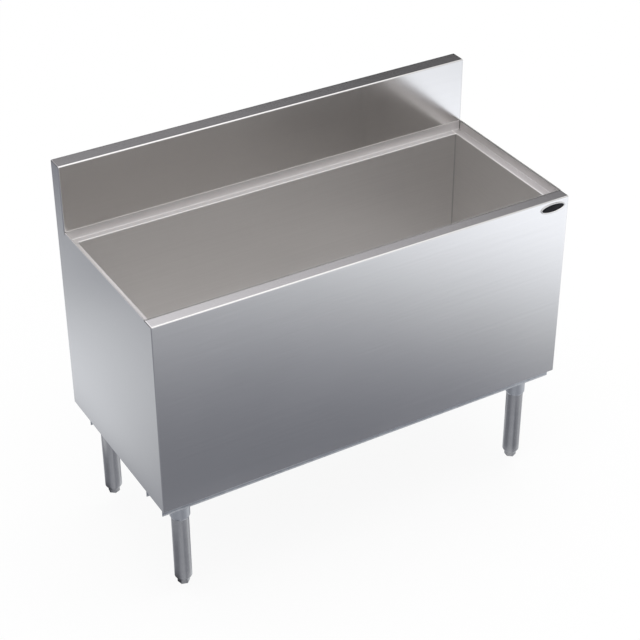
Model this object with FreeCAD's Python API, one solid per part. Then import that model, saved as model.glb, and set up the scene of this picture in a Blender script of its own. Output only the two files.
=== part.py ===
import FreeCAD, Part
import math
import os

from FreeCAD import Vector

# Underbar ice bin: a foam-insulated steel bin with a raised backsplash, standing on four legs.
# Frame: +X to the right, front towards -Y, +Z up, origin on the floor under the middle of the bin.
# All sizes are in millimetres.

# Body
bin_width = 1067.0
bin_depth = 482.6
apron_height = 494.0
ground_clearance = 274.6
backsplash_rise = 164.5
backsplash_depth = 41.5

# Sheet metal
sheet = 1.2
bend_inside = 1.5
panel_flange = 19.0
rail_depth = 32.0
rail_drop = 20.0
apron_bottom_return = 20.0
backsplash_lap = 20.0
backsplash_hem = 15.0
back_panel_rise = 10.0
relief_width = 3.0
relief_height = 6.0

# Ice liner
ledge_drop = 23.5
side_ledge_inset = 24.2
back_ledge_inset = 17.5
ledge_cove = 1.5
tub_depth = 305.0
tub_corner = 2.0
floor_fall = 8.0
floor_margin = 30.0
drain_flat = 110.0
lip_joint_gap = 1.2

# Insulation and the pan under it
foam_floor = 25.0
foam_gap = 0.3
service_hole_radius = 42.0

# Cross-members that carry the legs
channel_sheet = 2.0
channel_bend = 2.0
front_channel_drop = 23.0
rear_channel_drop = 20.0
channel_end_inset = 5.0
front_channel_start = 17.0
front_channel_width = 82.0
rear_channel_width = 82.0

# Legs
leg_side_inset = 66.8
leg_front_inset = 60.4
leg_rear_inset = 38.5
socket_reach = 76.0
socket_radius = 23.8
socket_taper = 5.0
socket_rim = 0.8
socket_plate = 68.0
socket_plate_thickness = 3.0
socket_corner = 8.0
tube_radius = 20.65
tube_wall = 1.6
tube_fit = 0.2
tube_top_gap = 2.0

# Adjustable feet
foot_flats = 25.4
foot_height = 13.0
foot_chamfer = 1.2
foot_seat_gap = 0.3
foot_adjustment = 25.0
foot_turns = {"front_left": 43.0, "front_right": 22.0, "rear_left": 21.0, "rear_right": 8.0}
stem_radius = 7.9
stem_engagement = 33.0
stem_clearance = 0.3
bush_taper = 8.0
bush_nose_radius = 15.8
bush_length = 30.0

# Fasteners
bolt_spacing = 52.0
bolt_radius = 4.0
bolt_hole_clearance = 0.4
bolt_head_flats = 13.0
bolt_head_height = 5.3
bolt_end = 2.0
nut_height = 6.5
nut_thread_gap = 0.1
set_screw_radius = 4.0
set_screw_height = 12.0
set_screw_proud = 3.5
set_screw_key_flats = 4.0
set_screw_key_depth = 3.0
set_screw_gap = 0.2

# Drain
drain_flange_radius = 32.0
drain_flange_height = 4.0
drain_barrel_radius = 18.0
drain_barrel_length = 24.0
drain_tail_radius = 16.7
drain_tail_length = 48.0
drain_bore_radius = 13.0
drain_fit = 0.3
gasket_radius = 28.0
gasket_thickness = 2.5
locknut_flats = 50.0
locknut_height = 9.0
strainer_radius = 23.0
strainer_thickness = 2.0
strainer_gap = 0.4
strainer_hole_radius = 2.4
strainer_hole_pitch = 8.0
strainer_rings = 2

# Derived planes and clearances
overshoot = 1.0
bend_outside = bend_inside + sheet
x_side = bin_width / 2
y_front = -bin_depth / 2
y_back = bin_depth / 2
z_bottom = ground_clearance
z_rim = ground_clearance + apron_height
z_top = z_rim + backsplash_rise
y_seam = y_front + rail_depth
y_splash = y_back - backsplash_depth
y_lap = y_splash + sheet
z_ledge = z_rim - ledge_drop
z_floor = z_rim - tub_depth
z_drain = z_floor - floor_fall
z_pan = z_drain - sheet - foam_floor
z_web = z_bottom - channel_sheet
z_plate = z_web - socket_plate_thickness
tub_half = x_side - side_ledge_inset
tub_front = y_seam + sheet
tub_back = y_splash - back_ledge_inset
tub_middle = (tub_front + tub_back) / 2
y_front_legs = y_front + leg_front_inset
y_rear_legs = y_back - leg_rear_inset
socket_bore = tube_radius + tube_fit
z_bush_nose = foot_height + foot_seat_gap
z_tube_end = z_bush_nose + bush_taper
z_tube_top = z_plate - tube_top_gap
z_stem_top = foot_height + foot_adjustment + stem_engagement
leg_places = {
    "front_left": (-x_side + leg_side_inset, y_front_legs),
    "front_right": (x_side - leg_side_inset, y_front_legs),
    "rear_left": (-x_side + leg_side_inset, y_rear_legs),
    "rear_right": (x_side - leg_side_inset, y_rear_legs),
}


def block(x0, x1, y0, y1, z0, z1):
    """A box between two corners."""
    return Part.makeBox(x1 - x0, y1 - y0, z1 - z0, Vector(x0, y0, z0))


def cylinder(x, y, z0, z1, radius):
    """An upright cylinder from z0 to z1."""
    return Part.makeCylinder(radius, z1 - z0, Vector(x, y, z0))


def hexagon(x, y, z0, z1, flats, turn=0.0):
    """An upright hexagonal prism from z0 to z1, measured across its flats and turned in degrees."""
    corner = flats / math.sqrt(3)
    turns = [math.radians(turn + 60 * step) for step in range(7)]
    points = [Vector(x + corner * math.cos(a), y + corner * math.sin(a), z0) for a in turns]
    return Part.Face(Part.makePolygon(points)).extrude(Vector(0, 0, z1 - z0))


def revolved(x, y, profile):
    """A solid turned about an upright axis from (radius, height) points."""
    points = [Vector(x + radius, y, height) for radius, height in profile]
    face = Part.Face(Part.makePolygon(points + points[:1]))
    return face.revolve(Vector(x, y, 0), Vector(0, 0, 1), 360)


def edges_where(shape, wanted):
    """The straight or curved edges whose end points all pass the test."""
    return [edge for edge in shape.Edges if all(wanted(v.Point) for v in edge.Vertexes)]


def near(a, b):
    """Two sizes that stand for the same plane."""
    return abs(a - b) < 1e-4


def bent_sheet(skin, thickness, inside, x0, x1):
    """A folded strip: its outer skin runs through (y, z) points, its metal lies to their left.

    The strip is the skin and its copy moved left by the thickness. Each corner of the two is an
    arc about the same centre, so the metal keeps its thickness round the bend.
    """
    points = [Vector(0, y, z) for y, z in skin]
    ways = [(b - a).normalize() for a, b in zip(points, points[1:])]
    lefts = [Vector(0, -way.z, way.y) for way in ways]
    near_side = []
    far_side = []
    start_near = points[0]
    start_far = points[0] + lefts[0] * thickness
    for corner, way, left, next_way, next_left in zip(
            points[1:], ways, lefts, ways[1:], lefts[1:]):
        turns_left = way.y * next_way.z - way.z * next_way.y > 0
        near_radius = inside + thickness if turns_left else inside
        side = 1 if turns_left else -1
        reach = near_radius * math.tan(way.getAngle(next_way) / 2)
        enter = corner - way * reach
        leave = corner + next_way * reach
        centre = enter + left * (side * near_radius)
        bisector = ((enter - centre) + (leave - centre)).normalize()
        far_radius = near_radius - side * thickness
        far_enter = enter + left * thickness
        far_leave = leave + next_left * thickness
        near_side.append(Part.makeLine(start_near, enter))
        near_side.append(Part.Arc(enter, centre + bisector * near_radius, leave).toShape())
        far_side.append(Part.makeLine(start_far, far_enter))
        far_side.append(Part.Arc(far_enter, centre + bisector * far_radius, far_leave).toShape())
        start_near = leave
        start_far = far_leave
    end_near = points[-1]
    end_far = points[-1] + lefts[-1] * thickness
    near_side.append(Part.makeLine(start_near, end_near))
    far_side.append(Part.makeLine(start_far, end_far))
    ends = [
        Part.makeLine(points[0], points[0] + lefts[0] * thickness),
        Part.makeLine(end_near, end_far),
    ]
    outline = Part.Wire(Part.__sortEdges__(near_side + far_side + ends))
    strip = Part.Face(outline).extrude(Vector(x1 - x0, 0, 0))
    strip.translate(Vector(x0, 0, 0))
    return strip


def yz_prism(outline, x0, x1):
    """A prism along X from (y, z) points."""
    points = [Vector(x0, y, z) for y, z in outline]
    return Part.Face(Part.makePolygon(points + points[:1])).extrude(Vector(x1 - x0, 0, 0))


def front_apron():
    """Front face, top rail, side returns and bottom return as one pan, with the rail's back drop."""

    def apron_core(inset, back, radius):
        core = block(-x_side + inset, x_side - inset, y_front + inset, back,
                     z_bottom + inset, z_rim - inset)
        return core.makeFillet(radius, edges_where(core, lambda p: near(p.y, y_front + inset))
                               + [e for e in core.Edges if near(e.Length, core.BoundBox.YLength)])

    pan = apron_core(0, y_seam, bend_outside).cut(apron_core(sheet, y_seam + overshoot, bend_inside))
    reach = x_side - bend_outside
    lower_trim = block(-reach, reach, y_front + apron_bottom_return, y_seam + overshoot,
                       z_bottom - overshoot, z_bottom + bend_outside)
    fold_start = y_seam - 2 * bend_outside
    rail_trim = block(-reach, reach, fold_start, y_seam + overshoot,
                      z_rim - bend_outside, z_rim + overshoot)
    rail_back = bent_sheet([(y_seam, z_rim - rail_drop), (y_seam, z_rim), (fold_start, z_rim)],
                           sheet, bend_inside, -reach, reach)
    return pan.cut([lower_trim, rail_trim]).fuse(rail_back).removeSplitter()


def side_panel():
    """Left side: one sheet that runs up to close the backsplash, flanged all round but at the rim."""

    def outline_core(inset, x0, x1, front, rim, radius):
        """The side's outline moved in by inset, with its folded edges rounded."""
        low = z_bottom + inset
        back = y_back - inset
        high = z_top - inset
        ear = y_splash + inset
        step = [(ear, z_rim), (front, z_rim)]
        if rim > z_rim:
            step = [(ear, z_rim), (y_splash - relief_width, z_rim),
                    (y_splash - relief_width, rim), (front, rim)]
        core = yz_prism([(front, low), (back, low), (back, high), (ear, high)] + step, x0, x1)

        def folded(p, q):
            return any((near(p.z, low) and near(q.z, low),
                        near(p.y, back) and near(q.y, back),
                        near(p.z, high) and near(q.z, high),
                        near(p.y, ear) and near(q.y, ear)))

        rounded = []
        for edge in core.Edges:
            p, q = (v.Point for v in edge.Vertexes)
            on_face = near(p.x, x0) and near(q.x, x0) and folded(p, q)
            across = near(p.y, q.y) and near(p.z, q.z)
            fold_corner = across and ((near(p.y, back) and (near(p.z, low) or near(p.z, high)))
                                      or (near(p.y, ear) and near(p.z, high)))
            if on_face or fold_corner:
                rounded.append(edge)
        return core.makeFillet(radius, rounded)

    skin = outline_core(0, -x_side, -x_side + panel_flange, y_seam, z_rim, bend_outside)
    hollow = outline_core(sheet, -x_side + sheet, -x_side + panel_flange + overshoot,
                          y_seam - overshoot, z_rim + overshoot, bend_inside)
    relief = block(-x_side - overshoot, -x_side + bend_outside, y_splash - relief_width, y_splash,
                   z_rim - relief_height, z_rim + overshoot)
    return skin.cut([hollow, relief])


def backsplash():
    """Splash face, top and back hem folded from one sheet, let in between the two side panels."""
    reach = x_side - panel_flange
    skin = [(y_back, z_top - backsplash_hem), (y_back, z_top), (y_splash, z_top),
            (y_splash, z_rim - backsplash_lap)]
    return bent_sheet(skin, sheet, bend_inside, -reach, reach)


def back_panel():
    """Flat back that closes the insulation, folded forward behind the splash face."""
    reach = x_side - bend_outside - foam_gap
    y_face = y_back - sheet
    z_fold = z_rim + back_panel_rise
    skin = [(y_face, z_bottom + bend_outside), (y_face, z_fold), (y_lap, z_fold)]
    return bent_sheet(skin, sheet, bend_inside, -reach, reach)


def tub_solid(grow):
    """The ice space grown outwards: upright walls, one corner radius, a floor that falls to the drain."""
    tub = block(-tub_half - grow, tub_half + grow, tub_front - grow, tub_back + grow,
                z_floor - grow, z_rim)
    kept_sharp = edges_where(tub, lambda p: near(p.z, z_rim))
    rounded = [e for e in tub.Edges if not any(e.isSame(kept) for kept in kept_sharp)]
    tub = tub.makeFillet(tub_corner + grow, rounded)

    def rectangle(half_x, half_y, z):
        signs = [(-1, -1), (1, -1), (1, 1), (-1, 1), (-1, -1)]
        return Part.makePolygon([Vector(sx * half_x, tub_middle + sy * half_y, z) for sx, sy in signs])

    half_y = (tub_back - tub_front) / 2
    fall = Part.makeLoft([
        rectangle(tub_half - floor_margin, half_y - floor_margin, z_floor - grow),
        rectangle(drain_flat / 2, drain_flat / 2, z_drain - grow),
    ], True, True)
    return tub.fuse(fall).removeSplitter()


def ice_liner():
    """Welded liner: tub, coved ledge on three sides and an upright lip that meets the outer panels."""
    lip_half = x_side - sheet
    rounds_below = ((lip_half, y_splash, z_ledge - sheet, ledge_cove + sheet),
                    (lip_half - sheet, y_splash - sheet, z_ledge, ledge_cove))
    basins = []
    for half, back, low, radius in rounds_below:
        front = tub_front - sheet if half == lip_half else tub_front
        basin = block(-half, half, front, back, low, z_rim)
        coved = [e for e in edges_where(basin, lambda p: near(p.z, low))
                 if not all(near(v.Point.y, front) for v in e.Vertexes)]
        basins.append(basin.makeFillet(radius, coved))
    outer_basin, inner_basin = basins
    tub_outside = tub_solid(sheet)
    above_ledge = block(-x_side, x_side, y_front, y_back, z_ledge - sheet / 2, z_rim + overshoot)
    liner = outer_basin.fuse(tub_outside.cut(above_ledge))
    liner = liner.cut([inner_basin, tub_solid(0)]).removeSplitter()

    def ledge_mouth(z, half, back):
        """The bend between ledge and tub wall: edges at this height that lie on the tub's outline."""
        found = []
        for edge in edges_where(liner, lambda p: near(p.z, z)):
            middle = edge.valueAt((edge.FirstParameter + edge.LastParameter) / 2)
            inside = abs(middle.x) < half + 1e-3 and middle.y < back + 1e-3
            if inside and not near(middle.y, tub_front) and not near(middle.y, tub_front - sheet):
                found.append(edge)
        return found

    liner = liner.makeFillet(bend_outside, ledge_mouth(z_ledge, tub_half, tub_back))
    joint_low = z_ledge + ledge_cove
    x_joint = lip_half - sheet - lip_joint_gap
    joints = [block(min(s * x_joint, s * (lip_half - sheet)), max(s * x_joint, s * (lip_half - sheet)),
                    y_splash - sheet, y_splash, joint_low, z_rim) for s in (-1, 1)]
    drain_hole = cylinder(0, tub_middle, z_drain - sheet - overshoot, z_drain + overshoot,
                          drain_barrel_radius + drain_fit)
    return liner.cut(joints + [drain_hole])


def foam_insulation():
    """Foam between liner and outer panels, with a clear hole round the drain."""
    half = x_side - sheet - foam_gap
    foam = block(-half, half, y_front + sheet + foam_gap, y_back - 2 * sheet - foam_gap,
                 z_pan, z_ledge - sheet - foam_gap)
    foam = foam.makeFillet(bend_outside, [e for e in foam.Edges if near(e.Length, foam.BoundBox.ZLength)])
    hole = cylinder(0, tub_middle, z_pan - overshoot, z_floor, service_hole_radius)
    return foam.cut([tub_solid(sheet + foam_gap), hole])


def bottom_pan():
    """Pan under the foam, with its edges turned down against the four outer panels."""

    def pan_core(inset, low, radius):
        core = block(-x_side + sheet + inset, x_side - sheet - inset, y_front + sheet + inset,
                     y_back - 2 * sheet - inset, low, z_pan - inset)
        open_edges = edges_where(core, lambda p: near(p.z, low))
        return core.makeFillet(radius, [e for e in core.Edges
                                        if not any(e.isSame(kept) for kept in open_edges)])

    low = z_pan - panel_flange
    pan = pan_core(0, low, bend_outside).cut(pan_core(sheet, low - overshoot, bend_inside))
    return pan.cut(cylinder(0, tub_middle, low, z_pan + overshoot, service_hole_radius))


def bolt_places(x, y):
    """The four bolt axes round one leg."""
    half = bolt_spacing / 2
    return [(x + sx * half, y + sy * half) for sx in (-1, 1) for sy in (-1, 1)]


def bolt_holes(legs, z0, z1):
    """Clearance holes for the bolts of the named legs."""
    places = [place for leg in legs for place in bolt_places(*leg_places[leg])]
    return [cylinder(x, y, z0, z1, bolt_radius + bolt_hole_clearance) for x, y in places]


def front_leg_channel():
    """Channel across the front, open downwards, welded under the apron and side flanges."""
    y0 = y_front + front_channel_start
    y1 = y0 + front_channel_width
    low = z_bottom - front_channel_drop
    reach = x_side - channel_end_inset
    channel = bent_sheet([(y1, low), (y1, z_bottom), (y0, z_bottom), (y0, low)],
                         channel_sheet, channel_bend, -reach, reach)
    return channel.cut(bolt_holes(("front_left", "front_right"), z_web - overshoot, z_bottom + overshoot))


def rear_leg_channel():
    """Angle across the back: its web runs to the back panel, its front edge is turned down."""
    y0 = y_back - rear_channel_width
    reach = x_side - channel_end_inset
    low = z_bottom - rear_channel_drop
    channel = bent_sheet([(y_back - bend_outside, z_bottom), (y0, z_bottom), (y0, low)],
                         channel_sheet, channel_bend, -reach, reach)
    return channel.cut(bolt_holes(("rear_left", "rear_right"), z_web - overshoot, z_bottom + overshoot))


def set_screw_height_above():
    """Height of the set screw's axis in a socket."""
    return z_bottom - socket_reach + socket_taper + set_screw_height


def leg_socket(leg):
    """Bolted plate with a round socket that tapers onto the tube."""
    x, y = leg_places[leg]
    half = socket_plate / 2
    plate = block(x - half, x + half, y - half, y + half, z_plate, z_web)
    plate = plate.makeFillet(socket_corner, [e for e in plate.Edges if near(e.Length, socket_plate_thickness)])
    plate = plate.cut(bolt_holes((leg,), z_plate - overshoot, z_web + overshoot))
    low = z_bottom - socket_reach
    socket = revolved(x, y, [(socket_bore, low), (socket_bore + socket_rim, low),
                             (socket_radius, low + socket_taper), (socket_radius, z_plate),
                             (socket_bore, z_plate)])
    hole = Part.makeCylinder(set_screw_radius + set_screw_gap, socket_radius + overshoot,
                             Vector(x, y, set_screw_height_above()), Vector(0, 1, 0))
    return plate.fuse(socket.cut(hole)).removeSplitter()


def leg_tube(leg):
    """Round tube, open at both ends, held in its socket."""
    x, y = leg_places[leg]
    tube = cylinder(x, y, z_tube_end, z_tube_top, tube_radius)
    return tube.cut(cylinder(x, y, z_tube_end, z_tube_top, tube_radius - tube_wall))


def foot_bush(leg):
    """Threaded insert in the tube's end, with a tapered nose."""
    x, y = leg_places[leg]
    bore = stem_radius + stem_clearance
    inner = tube_radius - tube_wall
    return revolved(x, y, [(bore, z_bush_nose), (bush_nose_radius, z_bush_nose),
                           (tube_radius, z_tube_end), (inner, z_tube_end),
                           (inner, z_tube_end + bush_length), (bore, z_tube_end + bush_length)])


def foot(leg):
    """Hexagonal foot on a screwed stem, shown wound fully in."""
    x, y = leg_places[leg]
    pad = hexagon(x, y, 0, foot_height, foot_flats, foot_turns[leg])
    pad = pad.makeChamfer(foot_chamfer, edges_where(pad, lambda p: near(p.z, 0)))
    return pad.fuse(cylinder(x, y, foot_height, z_stem_top, stem_radius)).removeSplitter()


def socket_bolts():
    """Hexagon bolts up through the socket plates and channel webs."""
    bolts = []
    for x, y in leg_places.values():
        for bx, by in bolt_places(x, y):
            head = hexagon(bx, by, z_plate - bolt_head_height, z_plate, bolt_head_flats)
            shank = cylinder(bx, by, z_plate, z_bottom + nut_height + bolt_end, bolt_radius)
            bolts.append(head.fuse(shank).removeSplitter())
    return Part.makeCompound(bolts)


def socket_nuts():
    """Nuts on top of the channel webs."""
    nuts = []
    for x, y in leg_places.values():
        for bx, by in bolt_places(x, y):
            nut = hexagon(bx, by, z_bottom, z_bottom + nut_height, bolt_head_flats)
            nuts.append(nut.cut(cylinder(bx, by, z_bottom, z_bottom + nut_height,
                                         bolt_radius + nut_thread_gap)))
    return Part.makeCompound(nuts)


def leg_set_screws():
    """Socket-head set screws that pinch each tube from behind."""
    screws = []
    length = socket_radius + set_screw_proud - tube_radius
    for x, y in leg_places.values():
        tip = Vector(x, y + tube_radius, set_screw_height_above())
        screw = Part.makeCylinder(set_screw_radius, length, tip, Vector(0, 1, 0))
        key = hexagon(0, 0, 0, set_screw_key_depth, set_screw_key_flats)
        key.rotate(Vector(0, 0, 0), Vector(1, 0, 0), 90)
        key.translate(tip + Vector(0, length, 0))
        screws.append(screw.cut(key))
    return Part.makeCompound(screws)


def drain_body():
    """Drain with a dished flange, a barrel for its locknut and a pipe tail."""
    rim = z_drain + drain_flange_height
    dish = rim - strainer_thickness
    shoulder = z_drain - drain_barrel_length
    end = shoulder - drain_tail_length
    dish_radius = strainer_radius + strainer_gap
    return revolved(0, tub_middle, [
        (drain_bore_radius, end), (drain_tail_radius, end), (drain_tail_radius, shoulder),
        (drain_barrel_radius, shoulder), (drain_barrel_radius, z_drain),
        (drain_flange_radius, z_drain), (dish_radius + strainer_thickness, rim),
        (dish_radius, rim), (dish_radius, dish), (drain_bore_radius, dish)])


def drain_gasket():
    """Rubber washer under the floor."""
    top = z_drain - sheet
    ring = cylinder(0, tub_middle, top - gasket_thickness, top, gasket_radius)
    return ring.cut(cylinder(0, tub_middle, top - gasket_thickness, top, drain_barrel_radius + drain_fit))


def drain_locknut():
    """Hexagonal locknut that pulls the drain down on its washer."""
    top = z_drain - sheet - gasket_thickness
    nut = hexagon(0, tub_middle, top - locknut_height, top, locknut_flats)
    return nut.cut(cylinder(0, tub_middle, top - locknut_height, top, drain_barrel_radius + drain_fit))


def drain_strainer():
    """Loose perforated plate that lies in the dish of the drain."""
    top = z_drain + drain_flange_height
    low = top - strainer_thickness
    plate = cylinder(0, tub_middle, low, top, strainer_radius)
    places = [(0.0, tub_middle)]
    for ring in range(1, strainer_rings + 1):
        for step in range(6 * ring):
            a = math.radians(60 * step / ring)
            reach = ring * strainer_hole_pitch
            places.append((reach * math.cos(a), tub_middle + reach * math.sin(a)))
    return plate.cut([cylinder(x, y, low - overshoot, top + overshoot, strainer_hole_radius)
                      for x, y in places])


def mirrored(shape):
    """The same piece for the other side."""
    return shape.mirror(Vector(0, 0, 0), Vector(1, 0, 0))


def all_nodes():
    """Every piece by name."""
    left_side = side_panel()
    nodes = {
        "front_apron": front_apron(),
        "left_side_panel": left_side,
        "right_side_panel": mirrored(left_side),
        "back_panel": back_panel(),
        "backsplash": backsplash(),
        "ice_liner": ice_liner(),
        "foam_insulation": foam_insulation(),
        "bottom_pan": bottom_pan(),
        "front_leg_channel": front_leg_channel(),
        "rear_leg_channel": rear_leg_channel(),
        "socket_bolts": socket_bolts(),
        "socket_nuts": socket_nuts(),
        "leg_set_screws": leg_set_screws(),
        "drain_body": drain_body(),
        "drain_gasket": drain_gasket(),
        "drain_locknut": drain_locknut(),
        "drain_strainer": drain_strainer(),
    }
    for leg in leg_places:
        nodes["leg_socket_" + leg] = leg_socket(leg)
        nodes["leg_tube_" + leg] = leg_tube(leg)
        nodes["foot_bush_" + leg] = foot_bush(leg)
        nodes["foot_" + leg] = foot(leg)
    return nodes


os.makedirs("parts", exist_ok=True)
for node, solid in all_nodes().items():
    solid.exportStep("parts/" + node + ".step")
    print(node, "solids", len(solid.Solids), "valid", solid.isValid(), "volume", round(solid.Volume, 1))
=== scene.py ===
import math

import bpy
import numpy as np
from bpy.props import FloatProperty, FloatVectorProperty, IntProperty, PointerProperty
from mathutils import Euler, Matrix, Vector


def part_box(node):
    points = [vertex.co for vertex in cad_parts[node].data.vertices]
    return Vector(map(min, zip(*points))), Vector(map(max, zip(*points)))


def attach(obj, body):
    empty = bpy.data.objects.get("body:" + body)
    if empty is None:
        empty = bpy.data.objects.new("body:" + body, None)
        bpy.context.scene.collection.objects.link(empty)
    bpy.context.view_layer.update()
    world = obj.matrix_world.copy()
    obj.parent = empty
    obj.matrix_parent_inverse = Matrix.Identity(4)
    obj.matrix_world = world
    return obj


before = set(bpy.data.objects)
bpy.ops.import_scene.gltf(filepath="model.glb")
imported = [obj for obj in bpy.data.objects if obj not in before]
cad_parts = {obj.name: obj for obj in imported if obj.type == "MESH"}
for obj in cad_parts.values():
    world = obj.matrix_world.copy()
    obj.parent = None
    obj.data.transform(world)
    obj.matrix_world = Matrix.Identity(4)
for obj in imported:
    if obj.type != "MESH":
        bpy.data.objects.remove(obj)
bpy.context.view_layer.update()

bl_info = {
    "name": "Underbar Ice Bin",
    "version": (1, 0, 0),
    "blender": (4, 5, 0),
    "location": "View3D > Sidebar > Ice Bin",
    "description": "Finishes, badge plate, foot threads and studio for a steel underbar ice bin",
    "category": "Object",
}

LEGS = ("front_left", "front_right", "rear_left", "rear_right")
APRON_LOW, APRON_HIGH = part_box("front_apron")
SPLASH_LOW, SPLASH_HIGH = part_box("backsplash")
LINER_LOW, LINER_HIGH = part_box("ice_liner")
CHANNEL_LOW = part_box("front_leg_channel")[0]
DRAIN = sum(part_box("drain_body"), Vector()) / 2
FRONT_FOOT = sum(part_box("foot_front_right"), Vector()) / 2
REAR_FOOT = sum(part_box("foot_rear_right"), Vector()) / 2

# Bends that lie inside those boxes
SHEET = 0.0012
LEDGE_DROP = 0.0235
SIDE_LEDGE = 0.0230
BACK_LEDGE = 0.0175
FLANGE_BEND = 0.0042

# Planes of the bin, and where its legs stand
RIM = APRON_HIGH.z
LEDGE = RIM - LEDGE_DROP
TUB_HALF = LINER_HIGH.x - SIDE_LEDGE
TUB_BACK = LINER_HIGH.y - BACK_LEDGE
TUB_FRONT = LINER_LOW.y + SHEET
FOOT_X = FRONT_FOOT.x
FOOT_Y = (FRONT_FOOT.y + REAR_FOOT.y) / 2
FOOT_SPAN = (REAR_FOOT.y - FRONT_FOOT.y) / 2

# How far a mark spreads from its edge: full within the first distance, gone past the second
# Reach of the bends that show brighter: partly wear, partly painted highlight
RUBBED_HIGHLIGHT_REACH = (0.0015, 0.007)
# Reach of the weld seams and of the lines of painted shade and highlight
WELD_AND_PAINTED_REACH = (0.0015, 0.003)

# Badge: points round each oval, and rows across the bezel and the face
BADGE_SIDES = 96
BEZEL_ROWS = 9
FACE_ROWS = 14
# Badge: the bezel's foot, greyed by painted shade, as a share of its width, its floor and the face's
# rise as shares of the thickness, and the gap that keeps the face off the floor
BEZEL_SHADED_FOOT = 0.3
BEZEL_FLOOR = 0.35
FACE_RISE = 0.35
FACE_GAP = 0.00005

# Stage: the floor leaves room for the feet wound fully out, and its card lies just over the plane
# that they stand on at rest
FLOOR_DROP = 0.026
FLOOR_HALF = 30.0
CARD_LIFT = 0.0008
CARD_HALF = 7.0
SOFTBOX_SIZE = (3.0, 2.0)
SOFTBOX_PLACE = (0.3, -0.4, 3.2)
SENSOR_WIDTH = 36.0
VIEW_END = 200.0
WHITE = (1.0, 1.0, 1.0, 1.0)

# Where each field of the floor card takes over from the field round the legs
BEHIND = (0.42, 0.56)
AT_RIGHT = (0.66, 0.80)
AT_LEFT = (-0.69, -0.62)
IN_FRONT = (-0.56, -0.42)


# Settings that a user would change


class SteelSettings(bpy.types.PropertyGroup):
    """Colour and finish of the stainless sheet."""

    colour: FloatVectorProperty(
        name="Steel colour", description="Reflectance of the bare sheet", subtype="COLOR",
        size=3, min=0, max=1, default=(0.745, 0.730, 0.719))
    dull_colour: FloatVectorProperty(
        name="Dull colour", description="Reflectance of the liner's dull lip and ledge", subtype="COLOR",
        size=3, min=0, max=1, default=(0.726, 0.706, 0.702))
    roughness: FloatProperty(
        name="Satin roughness", description="How far the satin finish spreads a reflection",
        subtype="FACTOR", min=0, max=1, default=0.19)
    liner_roughness: FloatProperty(
        name="Liner roughness", description="The same for the liner, dulled by ice and scoops",
        subtype="FACTOR", min=0, max=1, default=0.42)
    grain_width: FloatProperty(
        name="Grain width", description="Width of one brush line", unit="LENGTH", default=0.0005)
    grain_length: FloatProperty(
        name="Grain length", description="Length of one brush line", unit="LENGTH", default=0.08)
    grain_depth: FloatProperty(
        name="Grain depth", description="Height of the brush lines in the bump",
        unit="LENGTH", default=0.000004)


class BadgeSettings(bpy.types.PropertyGroup):
    """Blank oval plate at the right end of the apron."""

    width: FloatProperty(
        name="Width", description="Long side of the oval", unit="LENGTH", default=0.069)
    height: FloatProperty(
        name="Height", description="Short side of the oval", unit="LENGTH", default=0.0255)
    bezel: FloatProperty(
        name="Bezel", description="Width of the bright rim", unit="LENGTH", default=0.0033)
    thickness: FloatProperty(
        name="Thickness", description="How far the rim stands off the apron",
        unit="LENGTH", default=0.0018)
    side_inset: FloatProperty(
        name="Side inset", description="Badge centre from the apron's right edge",
        unit="LENGTH", default=0.0445)
    drop: FloatProperty(
        name="Drop", description="Badge centre below the rim", unit="LENGTH", default=0.020)
    face_colour: FloatVectorProperty(
        name="Face colour", description="Enamel of the blank face", subtype="COLOR",
        size=3, min=0, max=1, default=(0.012, 0.012, 0.014))


class ThreadSettings(bpy.types.PropertyGroup):
    """Screw thread on the stems of the feet."""

    pitch: FloatProperty(
        name="Pitch", description="Rise of one turn", unit="LENGTH", default=0.0023)
    ridge: FloatProperty(
        name="Ridge", description="Height of the thread on the stem", unit="LENGTH", default=0.00022)
    steps: IntProperty(
        name="Steps", description="Sections in one turn", min=8, default=32)


class StudioSettings(bpy.types.PropertyGroup):
    """Camera, floor and light."""

    eye: FloatVectorProperty(
        name="Eye", description="Camera position", subtype="TRANSLATION", unit="LENGTH",
        size=3, default=(-1.7088, -2.9143, 1.9620 + RIM))
    azimuth: FloatProperty(
        name="Azimuth", description="View direction, turned right from straight ahead",
        subtype="ANGLE", default=math.radians(30.523))
    tilt: FloatProperty(
        name="Tilt", description="View direction, below level", subtype="ANGLE",
        default=math.radians(33.827))
    roll: FloatProperty(
        name="Roll", description="Turn of the camera about its view", subtype="ANGLE",
        default=math.radians(-0.085))
    lens: FloatProperty(
        name="Lens", description="Focal length on a 36 mm frame", unit="CAMERA", default=96.50)
    floor_colour: FloatVectorProperty(
        name="Floor colour", description="Paint of the studio floor", subtype="COLOR",
        size=3, min=0, max=1, default=(0.98, 0.98, 0.98))
    floor_glow: FloatProperty(
        name="Floor glow", description="How far the floor shows pure white over its shadow",
        subtype="FACTOR", min=0, max=1, default=0.88)
    sky: FloatProperty(
        name="Sky", description="Strength of the white tent", default=1.0)
    softbox: FloatProperty(
        name="Softbox", description="Power of the lamp overhead", unit="POWER", default=12.0)


# Shader writing


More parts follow.
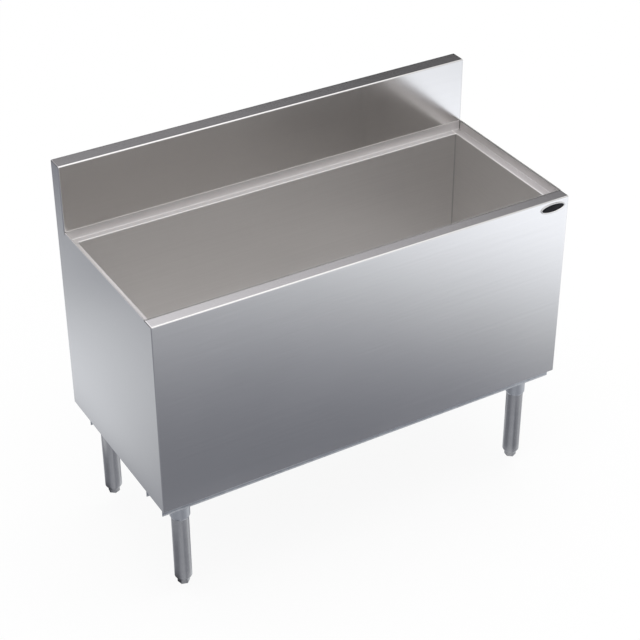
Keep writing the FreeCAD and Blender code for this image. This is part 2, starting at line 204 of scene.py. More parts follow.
class Wire:
    """A node output. Arithmetic on it adds Math nodes, and a plain number may stand on either side."""

    def __init__(self, graph, socket):
        self.graph = graph
        self.socket = socket

    def math(self, operation, *others):
        """A Math node with this wire as its first input."""
        values = dict(enumerate((self,) + others))
        return self.graph.add("ShaderNodeMath", {"operation": operation}, values)

    def __add__(self, other):
        return self.math("ADD", other)

    def __radd__(self, other):
        return self.math("ADD", other)

    def __sub__(self, other):
        return self.math("SUBTRACT", other)

    def __rsub__(self, other):
        return self.graph.add("ShaderNodeMath", {"operation": "SUBTRACT"}, {0: other, 1: self})

    def __mul__(self, other):
        return self.math("MULTIPLY", other)

    def __rmul__(self, other):
        return self.math("MULTIPLY", other)

    def __abs__(self):
        return self.math("ABSOLUTE")

    def ramp(self, low, high):
        """0 below low, 1 above high, smooth between them."""
        settings = {"interpolation_type": "SMOOTHSTEP"}
        values = {"Value": self, "From Min": low, "From Max": high}
        return self.graph.add("ShaderNodeMapRange", settings, values)

    def fade(self, low, high):
        """1 below low, 0 above high, smooth between them."""
        return 1 - self.ramp(low, high)


class Graph:
    """The node tree of one material or world."""

    def __init__(self, owner):
        owner.use_nodes = True
        self.tree = owner.node_tree
        self.tree.nodes.clear()

    def add(self, kind, settings, values, output=0):
        """Adds a node, applies its settings, then fills its sockets with numbers, colours or wires."""
        node = self.tree.nodes.new(kind)
        for name, setting in settings.items():
            setattr(node, name, setting)
        for name, value in values.items():
            if isinstance(name, int):
                socket = node.inputs[name]
            else:
                socket = next(item for item in node.inputs if name in (item.identifier, item.name))
            if isinstance(value, Wire):
                self.tree.links.new(value.socket, socket)
            else:
                socket.default_value = value
        return Wire(self, node.outputs[output] if len(node.outputs) else None)

    def place(self):
        """Object coordinates of the surface."""
        return self.add("ShaderNodeTexCoord", {}, {}, "Object")

    def axes(self, vector):
        """The three parts of a vector."""
        split = self.add("ShaderNodeSeparateXYZ", {}, {"Vector": vector})
        outputs = split.socket.node.outputs
        return [Wire(self, outputs[name]) for name in ("X", "Y", "Z")]

    def facing(self):
        """The three parts of the normal, as it is without bump."""
        return self.axes(self.add("ShaderNodeNewGeometry", {}, {}, "True Normal"))

    def noise(self, vector, scale, detail=2.0):
        """Smooth noise from 0 to 1. scale is a number or one number for each axis."""
        if not isinstance(scale, (int, float)):
            vector = self.add("ShaderNodeMapping", {}, {"Vector": vector, "Scale": scale})
            scale = 1.0
        values = {"Vector": vector, "Scale": scale, "Detail": detail}
        return self.add("ShaderNodeTexNoise", {}, values, "Fac")

    def blend(self, factor, first, second):
        """A colour between two colours."""
        values = {"Factor_Float": factor, "A_Color": first, "B_Color": second}
        return self.add("ShaderNodeMix", {"data_type": "RGBA"}, values, 2)

    def bump(self, height, distance):
        """A normal from a height of 0 to 1 that stands for distance in metres."""
        return self.add("ShaderNodeBump", {}, {"Height": height, "Strength": 1.0, "Distance": distance})

    def surface(self, **values):
        """A Principled surface as the material's output. Names are its sockets with _ for a blank."""
        named = {name.replace("_", " "): value for name, value in values.items()}
        shader = self.add("ShaderNodeBsdfPrincipled", {}, named)
        self.add("ShaderNodeOutputMaterial", {}, {"Surface": shader})


def rgb(colour, gain=1.0):
    """A colour with its alpha, lightened or darkened by gain."""
    return tuple(min(1.0, part * gain) for part in colour[:3]) + (1.0,)


def new_material(name):
    """A material and the graph of its nodes."""
    material = bpy.data.materials.new(name)
    return material, Graph(material)


# Finishes


def satin_sheet(name, steel, roughness, edges, marks=0.0, welds_and_painted_lines=(), dull=None):
    """Brushed stainless sheet.

    Brush lines are noise stretched along X, or along Y on faces that look sideways. edges holds
    (axis, place, axis, place) lines along which the bend is a little brighter: partly wear from
    handling, partly a painted highlight. marks is how strongly fine crossing scratches show. The
    line groups that follow marks, given as edges are, each with how light and how much duller they
    are, are darkened weld seams, painted shade and shadow in corners and gaps, and painted highlights
    on bends. dull holds the heights between which the sheet turns to the dull colour and a rougher
    finish.
    """
    material, graph = new_material(name)
    place = graph.place()
    sideways = abs(graph.facing()[0]).ramp(0.6, 0.8)
    across, along = 1 / steel.grain_width, 1 / steel.grain_length
    lengthwise = graph.add("ShaderNodeMapping", {}, {"Vector": place, "Scale": (along, across, across)})
    crosswise = graph.add("ShaderNodeMapping", {}, {"Vector": place, "Scale": (across, along, across)})
    brushed = graph.add("ShaderNodeMix", {"data_type": "VECTOR"},
                        {"Factor_Float": sideways, "A_Vector": lengthwise, "B_Vector": crosswise}, 1)
    lines = graph.noise(brushed, 1.0)
    bands = graph.noise(brushed, 0.12)
    cloud = graph.noise(place, 4.0)
    shade = 0.45 * lines + 0.35 * bands + 0.20 * cloud
    if marks:
        scratches = graph.noise(place, (900.0, 70.0, 500.0), 3.0).ramp(0.62, 0.74)
        shade = shade + marks * scratches
    parts = dict(zip("XYZ", graph.axes(place)))

    def along_lines(lines_at, inner, outer):
        """1 near any of the lines, 0 away from them."""
        mask = 0.0
        for first, at_first, second, at_second in lines_at:
            reach = abs(parts[first] - at_first).math("MAXIMUM", abs(parts[second] - at_second))
            mask = reach.fade(inner, outer).math("MAXIMUM", mask)
        return mask

    # Bends a little brighter and glossier: partly wear, partly a painted highlight
    rubbed_and_highlit = along_lines(edges, *RUBBED_HIGHLIGHT_REACH) * (0.4 + 0.9 * bands)
    colour = graph.blend(shade.ramp(0.25, 0.75), rgb(steel.colour, 0.97), rgb(steel.colour, 1.03))
    colour = graph.blend(rubbed_and_highlit * 0.15, colour, rgb(steel.colour, 1.15))
    gloss = roughness + 0.05 * (lines - 0.5) + 0.06 * (cloud - 0.5) - 0.05 * rubbed_and_highlit
    if dull:
        dulled = parts["Z"].ramp(*dull)
        gloss = gloss + 0.14 * dulled
        colour = graph.blend(dulled, colour, rgb(steel.dull_colour))
    # Weld seams, painted shade and shadow, and painted highlights, each a darker or lighter line
    for group, tone, dulling in welds_and_painted_lines:
        welds_and_painted_mask = along_lines(group, *WELD_AND_PAINTED_REACH)
        colour = graph.blend(welds_and_painted_mask, colour, rgb(steel.colour, tone))
        gloss = gloss + welds_and_painted_mask * dulling
    graph.surface(Base_Color=colour, Metallic=1.0, Roughness=gloss,
                  Normal=graph.bump(lines, steel.grain_depth))
    return material


def mill_sheet(name, steel):
    """Dull rolled sheet for hidden panels: broad rolling bands and a fine mottle."""
    material, graph = new_material(name)
    place = graph.place()
    rolling = graph.noise(place, (1.5, 90.0, 90.0))
    mottle = graph.noise(place, 220.0, 4.0)
    shade = 0.6 * rolling + 0.4 * mottle
    colour = graph.blend(shade.ramp(0.3, 0.7), rgb(steel.colour, 0.80), rgb(steel.colour, 0.87))
    graph.surface(Base_Color=colour, Metallic=1.0, Roughness=0.40 + 0.12 * (mottle - 0.5),
                  Normal=graph.bump(mottle, 0.00001))
    return material


def zinc_sheet(name, bare_edge):
    """Galvanised sheet: crystal spangle, and a pale dull bloom below bare_edge, partly a painted
    highlight.
    """
    material, graph = new_material(name)
    place = graph.place()
    crystal = graph.add("ShaderNodeTexVoronoi", {}, {"Vector": place, "Scale": 110.0}, "Color")
    spangle = graph.axes(crystal)[0]
    frost = graph.noise(place, 900.0, 3.0)
    low = graph.axes(place)[2].fade(bare_edge - 0.0015, bare_edge + 0.0015)
    faces_y = abs(graph.facing()[1]).ramp(0.6, 0.8)
    # Partly zinc bloom, partly a painted highlight: the low flanges' front and back faces lighter
    bloom = low * faces_y * (0.30 + 0.3 * (frost - 0.5))
    shade = 0.7 * spangle + 0.3 * frost
    colour = graph.blend(shade, (0.56, 0.575, 0.60, 1.0), (0.66, 0.675, 0.70, 1.0))
    colour = graph.blend(bloom, colour, (0.78, 0.79, 0.80, 1.0))
    graph.surface(Base_Color=colour, Metallic=1 - 0.8 * bloom,
                  Roughness=0.36 + 0.10 * (spangle - 0.5) + 0.2 * bloom,
                  Normal=graph.bump(frost, 0.000006))
    return material


def drawn_tube(name, steel, tone):
    """Polished tube: fine lines drawn along its length over a faint mottle."""
    material, graph = new_material(name)
    place = graph.place()
    lines = graph.noise(place, (1600.0, 1600.0, 14.0))
    mottle = graph.noise(place, 60.0)
    colour = graph.blend((0.6 * lines + 0.4 * mottle).ramp(0.3, 0.7),
                         rgb(steel.colour, tone * 0.95), rgb(steel.colour, tone * 1.04))
    graph.surface(Base_Color=colour, Metallic=1.0,
                  Roughness=0.24 + 0.08 * (lines - 0.5) + 0.05 * (mottle - 0.5),
                  Normal=graph.bump(lines, 0.000003))
    return material


def blasted_socket(name):
    """Bead-blasted socket: a fine even pitting that scatters light."""
    material, graph = new_material(name)
    place = graph.place()
    pits = graph.noise(place, 2600.0, 3.0)
    cloud = graph.noise(place, 45.0)
    colour = graph.blend((0.5 * pits + 0.5 * cloud).ramp(0.3, 0.7),
                         (0.72, 0.73, 0.742, 1.0), (0.80, 0.81, 0.822, 1.0))
    graph.surface(Base_Color=colour, Metallic=1.0, Roughness=0.30 + 0.10 * (cloud - 0.5),
                  Normal=graph.bump(pits, 0.000012))
    return material


def turned_steel(name, steel, tone):
    """Machined steel: closely spaced tool lines round an upright axis."""
    material, graph = new_material(name)
    place = graph.place()
    lines = graph.noise(place, (25.0, 25.0, 4200.0))
    mottle = graph.noise(place, 180.0, 3.0)
    colour = graph.blend((0.6 * lines + 0.4 * mottle).ramp(0.3, 0.7),
                         rgb(steel.colour, tone * 0.90), rgb(steel.colour, tone * 1.06))
    graph.surface(Base_Color=colour, Metallic=1.0, Roughness=0.27 + 0.10 * (mottle - 0.5),
                  Normal=graph.bump(lines, 0.000006))
    return material


def faced_steel(name, steel, centre):
    """Steel faced on a lathe: fine rings round the upright axis through centre, faintly clouded."""
    material, graph = new_material(name)
    place = graph.place()
    x, y, z = graph.axes(place)
    out_x, out_y = x - centre.x, y - centre.y
    radius = (out_x * out_x + out_y * out_y).math("SQRT")
    turned = graph.add("ShaderNodeCombineXYZ", {}, {"X": radius, "Y": z})
    rings = graph.noise(turned, 1400.0)
    cloud = graph.noise(place, 60.0)
    colour = graph.blend((0.6 * rings + 0.4 * cloud).ramp(0.3, 0.7),
                         rgb(steel.colour, 0.84), rgb(steel.colour, 0.94))
    graph.surface(Base_Color=colour, Metallic=1.0, Roughness=0.26 + 0.06 * (cloud - 0.5),
                  Normal=graph.bump(rings, 0.000002))
    return material


def plated_fastener(name, steel):
    """Bright plated bolts, slightly clouded."""
    material, graph = new_material(name)
    place = graph.place()
    cloud = graph.noise(place, 320.0, 3.0)
    colour = graph.blend(cloud.ramp(0.3, 0.7), rgb(steel.colour, 0.80), rgb(steel.colour, 0.98))
    graph.surface(Base_Color=colour, Metallic=1.0, Roughness=0.30 + 0.16 * (cloud - 0.5),
                  Normal=graph.bump(cloud, 0.000008))
    return material


def black_rubber(name):
    """Moulded rubber with a faint bloom."""
    material, graph = new_material(name)
    place = graph.place()
    bloom = graph.noise(place, 140.0, 3.0)
    pores = graph.noise(place, 2400.0)
    colour = graph.blend(bloom.ramp(0.4, 0.8), (0.018, 0.018, 0.019, 1.0), (0.05, 0.05, 0.05, 1.0))
    graph.surface(Base_Color=colour, Roughness=0.62 + 0.2 * (pores - 0.5),
                  Normal=graph.bump(pores, 0.00002))
    return material


def rigid_foam(name):
    """Closed-cell foam: small bright cells with darker walls."""
    material, graph = new_material(name)
    place = graph.place()
    cells = graph.add("ShaderNodeTexVoronoi", {}, {"Vector": place, "Scale": 700.0}, "Distance")
    cloud = graph.noise(place, 12.0)
    colour = graph.blend((0.7 * cells + 0.4 * cloud).ramp(0.1, 0.9),
                         (0.84, 0.74, 0.47, 1.0), (0.93, 0.87, 0.66, 1.0))
    graph.surface(Base_Color=colour, Roughness=0.85 + 0.1 * (cells - 0.5),
                  Normal=graph.bump(cells, 0.0002))
    return material


def badge_rim(name, steel, centre, half_x, half_z):
    """Bright plated bezel, slightly clouded, with painted shade greying its foot.

    The foot is what lies outside the oval of the two half sides.
    """
    material, graph = new_material(name)
    place = graph.place()
    cloud = graph.noise(place, 320.0, 3.0)
    x, z = graph.axes(place)[::2]
    across, up = (x - centre[0]) * (1 / half_x), (z - centre[2]) * (1 / half_z)
    # Painted shade round the bezel's foot, where it meets the apron
    foot = (across * across + up * up).math("SQRT").ramp(0.98, 1.0)
    colour = graph.blend(cloud.ramp(0.3, 0.7), rgb(steel.colour, 1.15), rgb(steel.colour, 1.25))
    colour = graph.blend(foot, colour, rgb(steel.colour, 0.78))
    graph.surface(Base_Color=colour, Metallic=1.0, Roughness=0.30 + 0.16 * (cloud - 0.5),
                  Normal=graph.bump(cloud, 0.000008))
    return material


def badge_enamel(name, colour):
    """Glossy enamel of the blank badge face, with a faint orange peel."""
    material, graph = new_material(name)
    place = graph.place()
    peel = graph.noise(place, 900.0)
    cloud = graph.noise(place, 90.0)
    tint = graph.blend(cloud.ramp(0.3, 0.7), rgb(colour), rgb(colour, 1.6))
    graph.surface(Base_Color=tint, Roughness=0.34 + 0.08 * (peel - 0.5), Specular_IOR_Level=0.05,
                  Normal=graph.bump(peel, 0.00001))
    return material


# Shapes


def ring_grid(semi_x, semi_z, out, centre, sides):
    """Surface through ovals: row v is the oval (semi_x[v] cos u, semi_z[v] sin u) lifted by out[v].

    The oval lies in the XZ plane about centre and is lifted towards -Y. The first and last rows are
    single points, so the surface is closed.
    """
    u = np.linspace(0, 2 * math.pi, sides, endpoint=False)
    x = np.outer(semi_x[1:-1], np.cos(u)) + centre[0]
    z = np.outer(semi_z[1:-1], np.sin(u)) + centre[2]
    y = np.broadcast_to(centre[1] - np.asarray(out[1:-1])[:, None], x.shape)
    rows = np.stack((x, y, z), axis=-1).reshape(-1, 3)
    poles = np.array([(centre[0], centre[1] - lift, centre[2]) for lift in (out[0], out[-1])])
    points = np.vstack((rows, poles))
    count = len(semi_x) - 2
    index = np.arange(count * sides).reshape(count, sides)
    after = np.roll(index, -1, axis=1)
    quads = np.stack((index[:-1], index[1:], after[1:], after[:-1]), axis=-1).reshape(-1, 4)
    first = np.full(sides, count * sides)
    caps = np.vstack((np.stack((index[0], after[0], first), axis=-1),
                      np.stack((after[-1], index[-1], first + 1), axis=-1)))
    return points, quads.tolist() + caps.tolist()


def helix_ridge(axis, low, high, radius, ridge, pitch, steps):
    """Thread ridge: a triangle carried along the helix (radius cos a, radius sin a, pitch a / 2 pi).

    The triangle's base is sunk a little below the stem's surface, its crest stands ridge above it.
    """
    turns = (high - low - pitch) / pitch
    a = np.linspace(0, 2 * math.pi * turns, int(turns * steps))
    rise = low + pitch / 2 + pitch * a / (2 * math.pi)
    flank = 0.45 * pitch
    section = ((radius - ridge, -flank), (radius + ridge, 0.0), (radius - ridge, flank))
    loops = [np.stack((axis[0] + r * np.cos(a), axis[1] + r * np.sin(a), rise + shift), axis=-1)
             for r, shift in section]
    points = np.stack(loops, axis=1).reshape(-1, 3)
    index = np.arange(len(points)).reshape(-1, 3)
    after = np.roll(index, -1, axis=1)
    quads = np.stack((index[:-1], index[1:], after[1:], after[:-1]), axis=-1).reshape(-1, 4)
    caps = [index[0].tolist(), index[-1][::-1].tolist()]
    return points, quads.tolist() + caps


def sheet_grid(corner, along, up, columns, rows):
    """Flat grid: corner + s along + t up, for s and t from 0 to 1."""
    s, t = np.meshgrid(np.linspace(0, 1, columns), np.linspace(0, 1, rows))
    points = (np.asarray(corner) + s[..., None] * np.asarray(along)
              + t[..., None] * np.asarray(up)).reshape(-1, 3)
    index = np.arange(rows * columns).reshape(rows, columns)
    quads = np.stack((index[:-1, :-1], index[:-1, 1:], index[1:, 1:], index[1:, :-1]), axis=-1)
    return points, quads.reshape(-1, 4).tolist()


def new_piece(name, shape, material, smooth=True):
    """An object at the origin with the given points and faces."""
    points, faces = shape
    mesh = bpy.data.meshes.new(name)
    mesh.from_pydata(points.tolist(), [], faces)
    mesh.polygons.foreach_set("use_smooth", np.full(len(mesh.polygons), smooth))
    mesh.materials.append(material)
    mesh.update()
    piece = bpy.data.objects.new(name, mesh)
    bpy.context.scene.collection.objects.link(piece)
    return piece


def node_points(node):
    """The points of a CAD node's mesh, one in each row."""
    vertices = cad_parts[node].data.vertices
    points = np.empty(3 * len(vertices), dtype=np.float32)
    vertices.foreach_get("co", points)
    return points.reshape(-1, 3).astype(float)


def finish_node(node, material):
    """Gives a CAD node its material."""
    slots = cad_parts[node].data.materials
    slots.clear()
    slots.append(material)


# Operators


class ICEBIN_OT_panels(bpy.types.Operator):
    """Brushes the outer sheets: apron, side panels and backsplash"""

    bl_idname = "icebin.panels"
    bl_label = "Finish panels"

    def execute(self, context):
        steel = context.scene.icebin_steel
        front, back = APRON_LOW.y, SPLASH_HIGH.y
        low, high = APRON_LOW.z, SPLASH_HIGH.z
        # Bends that show brighter: partly wear, partly a painted highlight
        edges = [("Y", front, "Z", RIM), ("Y", front, "Z", low), ("Y", SPLASH_LOW.y, "Z", high),
                 ("Y", back, "Z", high)]
        for side in (APRON_LOW.x, APRON_HIGH.x):
            edges += [("X", side, "Y", front), ("X", side, "Z", low), ("X", side, "Z", high),
                      ("X", side, "Y", back)]
        # Painted shadow: a darker, duller line where the rail meets the liner
        gap_shadow_line = [("Y", LINER_LOW.y, "Z", RIM)]
        outer = satin_sheet("outer_satin", steel, steel.roughness, edges, welds_and_painted_lines=[(gap_shadow_line, 0.6, 0.1)])
        for node in ("front_apron", "left_side_panel", "right_side_panel", "backsplash"):
            finish_node(node, outer)
        return {"FINISHED"}


class ICEBIN_OT_liner(bpy.types.Operator):
    """Finishes the ice liner with its scoop scratches"""

    bl_idname = "icebin.liner"
    bl_label = "Finish liner"

    def execute(self, context):
        steel = context.scene.icebin_steel
        # The back rim's bend shows brighter: partly wear, partly a painted highlight
        rim = [("Y", LINER_HIGH.y, "Z", RIM)]
        ends = (LINER_LOW.x, LINER_HIGH.x)
        # Painted shade along the rim's top edges at both ends
        shaded_rim_tops = [("X", end, "Z", RIM) for end in ends]
        # Painted shade down the liner's back corners
        shaded_back_corners = [("X", end, "Y", LINER_HIGH.y) for end in ends]
        # The tub's upright corners: darker weld seams that also stand for painted corner shade
        corner_welds_and_shade = [("X", side, "Y", wall) for side in (-TUB_HALF, TUB_HALF)
                   for wall in (TUB_FRONT, TUB_BACK)]
        # Painted shadow in the gap where the liner meets the rail
        corner_welds_and_shade += [("Y", LINER_LOW.y, "Z", RIM)]
        # Painted shade: the back mouth's bend a little darker and glossier
        back_mouth = [("Y", TUB_BACK, "Z", LEDGE)]
        # Painted highlight: the right mouth's bend brighter and glossier
        right_mouth = [("X", TUB_HALF, "Z", LEDGE)]
        welds_and_painted_lines = [(corner_welds_and_shade, 0.72, 0.1), (back_mouth, 0.95, -0.05), (right_mouth, 1.15, -0.14),
                   (shaded_rim_tops, 0.62, 0.1), (shaded_back_corners, 0.45, 0.1)]
        liner = satin_sheet("liner_satin", steel, steel.liner_roughness, rim, marks=0.12,
                            welds_and_painted_lines=welds_and_painted_lines, dull=(LEDGE - 0.004, LEDGE - 0.001))
        finish_node("ice_liner", liner)
        return {"FINISHED"}


class ICEBIN_OT_underside(bpy.types.Operator):
    """Finishes the hidden sheets, the foam and the leg fasteners"""

    bl_idname = "icebin.underside"
    bl_label = "Finish underside"

    def execute(self, context):
        steel = context.scene.icebin_steel
        mill = mill_sheet("mill_steel", steel)
        for node in ("back_panel", "bottom_pan"):
            finish_node(node, mill)
        zinc = zinc_sheet("channel_zinc", CHANNEL_LOW.z + FLANGE_BEND)
        for node in ("front_leg_channel", "rear_leg_channel"):
            finish_node(node, zinc)
        finish_node("foam_insulation", rigid_foam("rigid_foam"))
        plated = plated_fastener("plated_steel", steel)
        for node in ("socket_bolts", "socket_nuts", "leg_set_screws"):
            finish_node(node, plated)
        return {"FINISHED"}


class ICEBIN_OT_legs(bpy.types.Operator):
    """Finishes the sockets, tubes, inserts and feet"""

    bl_idname = "icebin.legs"
    bl_label = "Finish legs"

    def execute(self, context):
        steel = context.scene.icebin_steel
        finishes = {
            "leg_socket_": blasted_socket("socket_blasted"),
            "leg_tube_": drawn_tube("leg_tube_drawn", steel, tone=0.91),
            "foot_bush_": turned_steel("bush_turned", steel, tone=0.84),
            "foot_": turned_steel("foot_turned", steel, tone=0.78),
        }
        for leg in LEGS:
            for piece, material in finishes.items():
                finish_node(piece + leg, material)
        return {"FINISHED"}


class ICEBIN_OT_drain(bpy.types.Operator):
    """Finishes the drain, its nut, washer and strainer"""

    bl_idname = "icebin.drain"
    bl_label = "Finish drain"

    def execute(self, context):
        steel = context.scene.icebin_steel
        faced = faced_steel("drain_faced", steel, DRAIN)
        for node in ("drain_body", "drain_locknut", "drain_strainer"):
            finish_node(node, faced)
        finish_node("drain_gasket", black_rubber("gasket_rubber"))
        return {"FINISHED"}


class ICEBIN_OT_badge(bpy.types.Operator):
    """Adds the blank oval badge plate: a bright bezel round a black face"""

    bl_idname = "icebin.badge"
    bl_label = "Add badge"

    def execute(self, context):
        badge = context.scene.icebin_badge
        steel = context.scene.icebin_steel
        centre = (APRON_HIGH.x - badge.side_inset, APRON_LOW.y, RIM - badge.drop)
        half_x, half_z = badge.width / 2, badge.height / 2
        # Width of the painted shade round the bezel's foot
        foot = BEZEL_SHADED_FOOT * badge.bezel
        # The bezel is a half-round bead round a flat floor
        swell = np.linspace(0, math.pi, BEZEL_ROWS)
        inset = badge.bezel * (1 + np.cos(swell)) / 2
        lift = badge.thickness * (BEZEL_FLOOR + (1 - BEZEL_FLOOR) * np.sin(swell))
        semi_x = np.concatenate(([0.0], half_x - inset, [half_x, 0.0]))
        semi_z = np.concatenate(([0.0], half_z - inset, [half_z, 0.0]))
        out = np.concatenate(([lift[0]], lift, [0.0, 0.0]))
        bezel = new_piece("badge_bezel", ring_grid(semi_x, semi_z, out, centre, BADGE_SIDES),
                          badge_rim("badge_bright", steel, centre, half_x - foot, half_z - foot))
        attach(bezel, "bin")
        # The face is a shallow dome that stands on that floor
        t = np.linspace(0, 1, FACE_ROWS)
        base = lift[0]
        dome = base + FACE_RISE * badge.thickness * (1 - t ** 2) + FACE_GAP
        face_x = np.concatenate((t * (half_x - badge.bezel), [0.0]))
        face_z = np.concatenate((t * (half_z - badge.bezel), [0.0]))
        face_out = np.concatenate((dome, [base]))
        face = new_piece("badge_face", ring_grid(face_x, face_z, face_out, centre, BADGE_SIDES),
                         badge_enamel("badge_enamel", badge.face_colour))
        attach(face, "bin")
        return {"FINISHED"}


class ICEBIN_OT_threads(bpy.types.Operator):
    """Winds the screw thread round the stem of each foot"""

    bl_idname = "icebin.threads"
    bl_label = "Add foot threads"

    def execute(self, context):
        thread = context.scene.icebin_thread
        material = turned_steel("thread_turned", context.scene.icebin_steel, tone=0.74)
        for leg in LEGS:
            points = node_points("foot_" + leg)
            axis = (points.max(axis=0) + points.min(axis=0)) / 2
            out = np.hypot(points[:, 0] - axis[0], points[:, 1] - axis[1])
            height = points[:, 2]
            top = height.max()
            radius = out[np.isclose(height, top)].max()
            # The thread starts at the highest point that lies clearly outside the stem
            shoulder = height[out > 1.1 * radius].max()
            shape = helix_ridge(axis, shoulder, top, radius, thread.ridge, thread.pitch, thread.steps)
            piece = new_piece("foot_thread_" + leg, shape, material, smooth=False)
            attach(piece, leg + "_foot")
        return {"FINISHED"}


# Stage


def graded_card(name, corner, along, up, grade):
    """A glowing card that only shows as a reflection. grade takes a graph, and gives colour and glow."""
    material, graph = new_material(name)
    colour, level = grade(graph)
    lit = graph.add("ShaderNodeVectorMath", {"operation": "SCALE"}, {0: colour, "Scale": level})
    glow = graph.add("ShaderNodeEmission", {}, {"Color": lit})
    graph.add("ShaderNodeOutputMaterial", {}, {"Surface": glow})
    card = new_piece(name, sheet_grid(corner, along, up, 2, 2), material, smooth=False)
    card.visible_camera = False
    card.visible_diffuse = False
    card.visible_shadow = False
    card.visible_transmission = False


def front_glow(x, y):
    """Glow of the floor in front: dark by the bin, bright to the right, dimmer again far out.

    It follows x + 1.394 x x - 2.389 y, and is an even grey past the bin's left end.
    """
    ahead = x + 1.394 * x * x - 2.389 * y
    glow = 0.22 + 1.12 * ahead.ramp(1.3, 7.2)
    glow = glow - 0.26 * ahead.ramp(6.7, 8.4) - 0.38 * ahead.ramp(9.0, 14.0)
    return 0.28 + (glow - 0.28) * x.ramp(-1.0, -0.6)


def left_glow(x, y):
    """Glow of the floor to the left: grey, with a bright patch beside the bin's back half."""
    glow = 0.31 + 0.69 * y.ramp(-0.23, 0.80) * y.fade(0.80, 2.48) * x.ramp(-1.41, -0.34)
    glow = glow + 0.06 * x.ramp(-0.79, -0.70) * y.ramp(-0.1, 0.5)
    return glow - 0.06 * y.ramp(0.85, 1.15) * y.fade(1.15, 1.40) - 0.06 * y.ramp(1.1, 1.9)


def leg_glow(x, y):
    """Glow of the floor round the nearest leg: dark to the leg's left, light to its right.

    Lobes make it lighter or darker in single directions. The left and the right legs differ.
    """
    leg_x = x - FOOT_X * x.math("SIGN")
    leg_y = y - FOOT_Y - FOOT_SPAN * (y - FOOT_Y).math("SIGN")
    far = (leg_x * leg_x + leg_y * leg_y).math("SQRT").math("MAXIMUM", 0.001)
    east, north = leg_x.math("DIVIDE", far), leg_y.math("DIVIDE", far)
    near = far.fade(0.030, 0.075)
    wide = far.fade(0.20, 0.31)

    def lobe(bearing, low, high=1.0):
        """1 in one direction from the leg, in degrees from +X, and 0 away from it."""
        turn = math.radians(bearing)
        return (math.cos(turn) * east + math.sin(turn) * north).ramp(low, high)

    left_foot = 0.20 * lobe(-30, 0.5) - 0.13 * lobe(170, 0.3, 0.9)
    left_leg = (0.14 * east + 0.09 * lobe(-124, 0.75) - 0.11 * wide * lobe(-61, 0.75)
                + 0.08 * lobe(-11, 0.93, 0.98) - 0.20 * lobe(53, 0.7, 0.9)
                + 0.12 * lobe(100, 0.8, 0.95) + near * left_foot)
    right_leg = (0.14 * east + 0.11 * lobe(-137, 0.75) - 0.13 * wide * lobe(-78, 0.75)
                 + 0.20 * lobe(100, 0.8, 0.95) + 0.16 * near)
    leg = left_leg + x.ramp(-0.1, 0.1) * (right_leg - left_leg)
    return 0.34 + far.fade(0.40, 0.47) * leg


def floor_grade(card):
    """Glow of the floor: round the legs under the bin, and one field on each side of it."""
    x, y = card.axes(card.place())[:2]
    glow = leg_glow(x, y)
    fields = (
        (y.ramp(*BEHIND), 0.30 + 0.75 * y.ramp(0.3, 2.6)),
        (x.ramp(*AT_RIGHT), 0.58 + 0.12 * x.ramp(0.7, 2.6)),
        (x.fade(*AT_LEFT), left_glow(x, y)),
        (y.fade(*IN_FRONT), front_glow(x, y)),
    )
    for share, field in fields:
        glow = glow + share * (field - glow)
    cool = card.blend(glow.ramp(0.1, 0.6), (0.955, 1.0, 1.15, 1.0), (0.963, 1.0, 1.062, 1.0))
    return cool, glow


def back_grade(card):
    """Glow behind the bin: dark and low, rising to the upper left."""
    x, z = card.axes(card.place())[::2]
    leftward = ((7.4 - x) * (1 / 5.2)).math("MAXIMUM", 0.0).math("MINIMUM", 1.3)
    level = 1.085 * z.ramp(3.85, 6.05) * leftward + 0.1 * x.fade(1.0, 4.4)
    return (1.01, 1.0, 1.05), level


def front_grade(card):
    """Glow above the front: white, darker towards both ends."""
    x = card.axes(card.place())[0]
    return (1.0, 1.0, 1.02), 1.27 - 0.65 * x.ramp(2.8, 5.0) - 0.70 * x.fade(-4.0, 0.0)


def left_grade(card):
    """Glow to the left: grey, lighter upwards."""
    z = card.axes(card.place())[2]
    return (1.0, 1.0, 1.02), 0.30 + 0.35 * z.ramp(2.0, 7.0)


def stage_floor(studio):
    """Pale floor that keeps a faint shadow, and that the camera and reflections see nearly white."""
    material, graph = new_material("studio_floor")
    mottle = graph.noise(graph.place(), 3.0)
    paint = graph.blend(mottle, rgb(studio.floor_colour, 0.995), rgb(studio.floor_colour))
    matt = graph.add("ShaderNodeBsdfDiffuse", {}, {"Color": paint})
    lit = graph.add("ShaderNodeEmission", {}, {"Color": WHITE})
    path = graph.add("ShaderNodeLightPath", {}, {}, "Is Camera Ray").socket.node.outputs
    seen = Wire(graph, path["Is Camera Ray"])
    for kind in ("Is Glossy Ray", "Is Transmission Ray"):
        seen = seen.math("MAXIMUM", Wire(graph, path[kind]))
    mixed = graph.add("ShaderNodeMixShader", {}, {0: seen * studio.floor_glow, 1: matt, 2: lit})
    graph.add("ShaderNodeOutputMaterial", {}, {"Surface": mixed})
    corner = (-FLOOR_HALF, -FLOOR_HALF, -FLOOR_DROP)
    shape = sheet_grid(corner, (2 * FLOOR_HALF, 0, 0), (0, 2 * FLOOR_HALF, 0), 7, 7)
    floor = new_piece("studio_floor", shape, material, smooth=False)


def stage_cards():
    """Graded cards under, behind, in front of and to the left of the bin."""
    graded_card("floor_card", (-CARD_HALF, -CARD_HALF, CARD_LIFT), (2 * CARD_HALF, 0, 0),
                (0, 2 * CARD_HALF, 0), floor_grade)
    graded_card("back_card", (-9.0, 6.0, 0.0), (26.0, 0, 0), (0, 0, 9.0), back_grade)
    graded_card("front_card", (9.0, -6.0, 2.0), (-18.0, 0, 0), (0, 0, 6.0), front_grade)
    graded_card("left_card", (-6.0, -6.0, 0.0), (0, 12.0, 0), (0, 0, 7.0), left_grade)


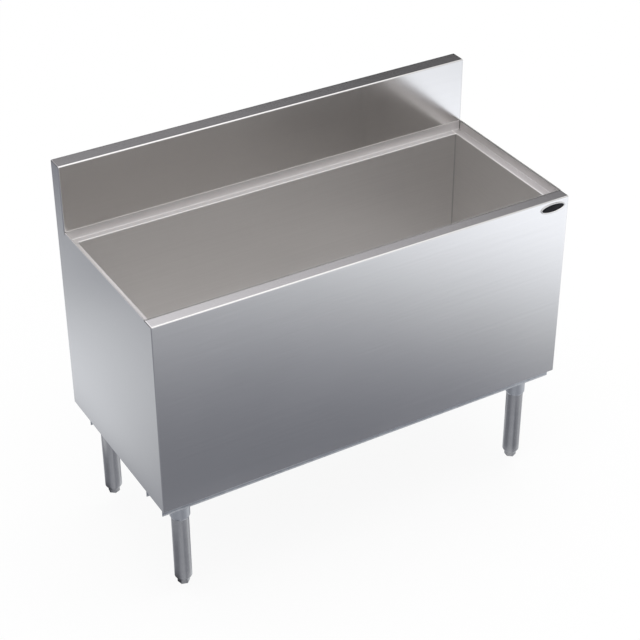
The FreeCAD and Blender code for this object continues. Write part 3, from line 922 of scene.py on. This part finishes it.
def stage_light(scene, studio):
    """A softbox overhead in a white tent."""
    lamp = bpy.data.lights.new("overhead_softbox", "AREA")
    lamp.shape = "RECTANGLE"
    lamp.size, lamp.size_y = SOFTBOX_SIZE
    lamp.energy = studio.softbox
    softbox = bpy.data.objects.new("overhead_softbox", lamp)
    softbox.location = SOFTBOX_PLACE
    scene.collection.objects.link(softbox)
    scene.world = bpy.data.worlds.new("white_tent")
    tent = Graph(scene.world)
    sky = tent.add("ShaderNodeBackground", {}, {"Color": WHITE, "Strength": studio.sky})
    tent.add("ShaderNodeOutputWorld", {}, {"Surface": sky})


def stage_camera(scene, studio):
    """The camera at the photograph's place and angle."""
    lens = bpy.data.cameras.new("photo_camera")
    lens.sensor_width = SENSOR_WIDTH
    lens.lens = studio.lens
    lens.clip_end = VIEW_END
    camera = bpy.data.objects.new("photo_camera", lens)
    turn = Euler((math.radians(90) - studio.tilt, 0, -studio.azimuth)).to_matrix()
    turn = turn @ Matrix.Rotation(studio.roll, 3, "Z")
    camera.matrix_world = Matrix.Translation(Vector(studio.eye)) @ turn.to_4x4()
    scene.collection.objects.link(camera)
    scene.camera = camera


class ICEBIN_OT_studio(bpy.types.Operator):
    """Sets the floor, the graded cards, the light and the camera"""

    bl_idname = "icebin.studio"
    bl_label = "Set studio"

    def execute(self, context):
        scene = context.scene
        studio = scene.icebin_studio
        stage_floor(studio)
        stage_cards()
        stage_light(scene, studio)
        stage_camera(scene, studio)
        scene.view_settings.view_transform = "Standard"
        return {"FINISHED"}


# Sidebar and registering


class ICEBIN_PT_sidebar(bpy.types.Panel):
    """Ice bin steps in the sidebar"""

    bl_label = "Ice Bin"
    bl_idname = "ICEBIN_PT_sidebar"
    bl_space_type = "VIEW_3D"
    bl_region_type = "UI"
    bl_category = "Ice Bin"

    def draw(self, context):
        for operator in OPERATORS:
            self.layout.operator(operator.bl_idname)


SETTINGS = {
    "icebin_steel": SteelSettings,
    "icebin_badge": BadgeSettings,
    "icebin_thread": ThreadSettings,
    "icebin_studio": StudioSettings,
}
OPERATORS = (ICEBIN_OT_panels, ICEBIN_OT_liner, ICEBIN_OT_underside, ICEBIN_OT_legs, ICEBIN_OT_drain,
             ICEBIN_OT_badge, ICEBIN_OT_threads, ICEBIN_OT_studio)
CLASSES = tuple(SETTINGS.values()) + OPERATORS + (ICEBIN_PT_sidebar,)


def register():
    for item in CLASSES:
        bpy.utils.register_class(item)
    for name, group in SETTINGS.items():
        setattr(bpy.types.Scene, name, PointerProperty(type=group))


def unregister():
    for name in SETTINGS:
        delattr(bpy.types.Scene, name)
    for item in reversed(CLASSES):
        bpy.utils.unregister_class(item)


def main():
    register()
    bpy.ops.icebin.panels()
    bpy.ops.icebin.liner()
    bpy.ops.icebin.underside()
    bpy.ops.icebin.legs()
    bpy.ops.icebin.drain()
    bpy.ops.icebin.badge()
    bpy.ops.icebin.threads()
    bpy.ops.icebin.studio()


if __name__ == "__main__":
    main()
